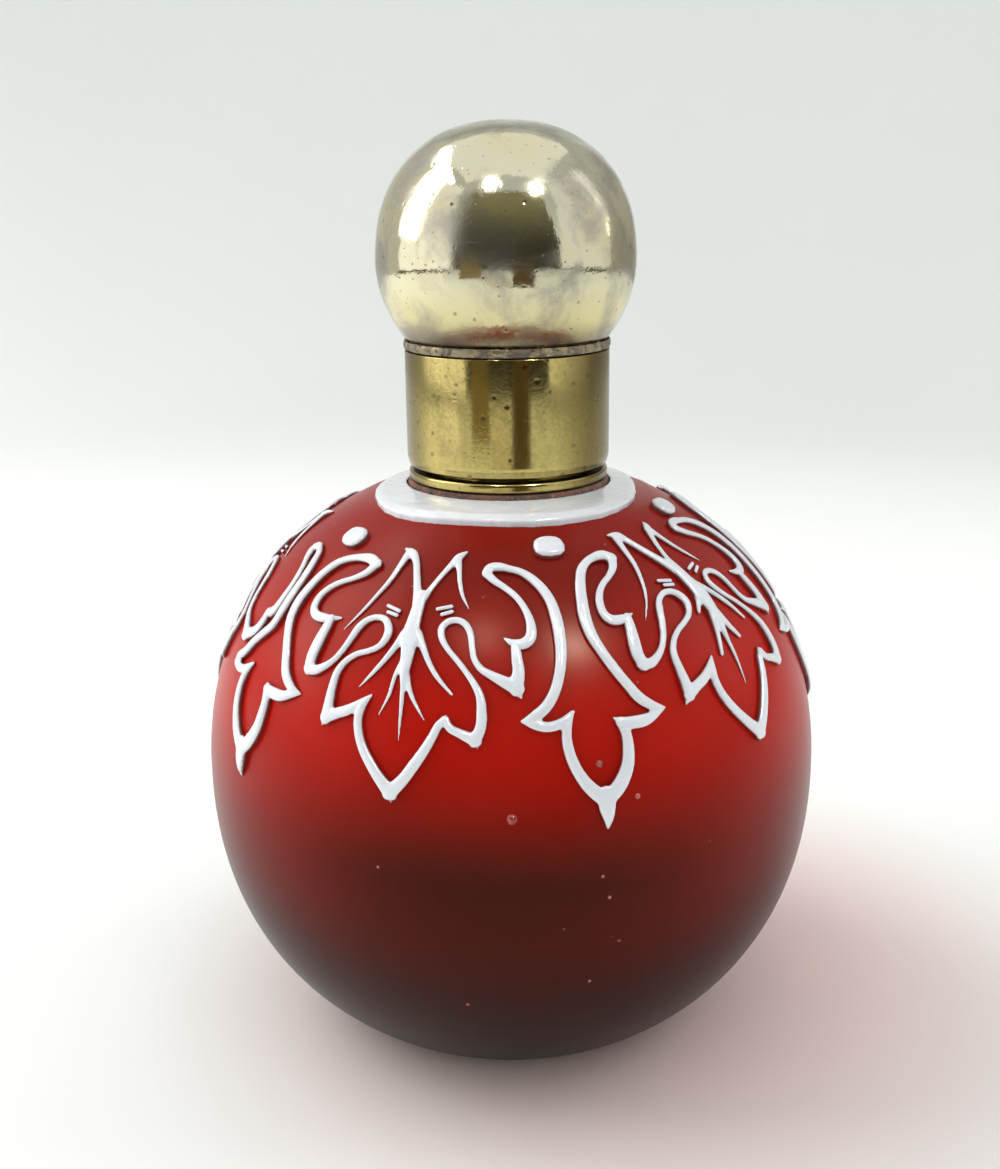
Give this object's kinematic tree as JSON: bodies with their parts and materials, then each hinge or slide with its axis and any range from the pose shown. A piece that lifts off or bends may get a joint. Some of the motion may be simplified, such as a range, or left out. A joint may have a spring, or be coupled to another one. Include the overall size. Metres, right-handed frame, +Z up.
{
  "type": "globe scent bottle",
  "caption": "Round ruby glass scent bottle with a raised white glass leaf border, a brass neck ring and a ball-topped screw cap over a ground stopper.",
  "frame": {"origin": "centre of the flat base, on the surface that the bottle stands on", "axes": "+Z up along the bottle's axis; -Y faces the picture's viewer; +X to the viewer's right"},
  "size_m": [0.064, 0.064, 0.0923],
  "materials": {
    "ruby_glass": "satin",
    "white_glass": "gloss, opaque",
    "clear_glass": "ground",
    "cement": "rough, grainy",
    "brass": "worn, pitted",
    "solder": "dull, uneven",
    "silver_plate": "worn plate, tarnished",
    "cork": "cork"
  },
  "bodies": {
    "bottle": {"glass_body": "ruby_glass", "cameo_neck_disc": "white_glass", "cameo_bud_1": "white_glass", "cameo_dot_1": "white_glass", "cameo_leaf_1": "white_glass", "cameo_stem_1": "white_glass", "cameo_bud_2": "white_glass", "cameo_dot_2": "white_glass", "cameo_leaf_2": "white_glass", "cameo_stem_2": "white_glass", "cameo_bud_3": "white_glass", "cameo_dot_3": "white_glass", "cameo_leaf_3": "white_glass", "cameo_stem_3": "white_glass", "cameo_bud_4": "white_glass", "cameo_dot_4": "white_glass", "cameo_leaf_4": "white_glass", "cameo_stem_4": "white_glass", "cameo_bud_5": "white_glass", "cameo_dot_5": "white_glass", "cameo_leaf_5": "white_glass", "cameo_stem_5": "white_glass", "neck_cement": "cement", "ferrule_tube": "brass", "ferrule_flange": "brass"},
    "stopper": {"stopper": "clear_glass"},
    "cap_washer": {"cap_washer": "cork"},
    "cap": {"cap_ball": "silver_plate", "cap_sleeve": "brass", "cap_thread_ring": "brass", "cap_solder_seam": "solder"}
  },
  "joints": [
    {"name": "cap_rise", "type": "slide", "parent": "bottle", "child": "cap_washer", "axis": [0, 0, 1], "range_m": [0, 0.0096]},
    {"name": "cap_turn", "type": "hinge", "parent": "cap_washer", "child": "cap", "pos_m": [0, 0, 0.065], "axis": [0, 0, 1], "range_deg": [0, 1080]},
    {"name": "stopper_lift", "type": "slide", "parent": "bottle", "child": "stopper", "axis": [0, 0, 1], "range_m": [0, 0.008]}
  ],
  "couplings": [
    {"joint": "cap_rise", "follows": "cap_turn", "m_per_rad": 0.0005093}
  ]
}
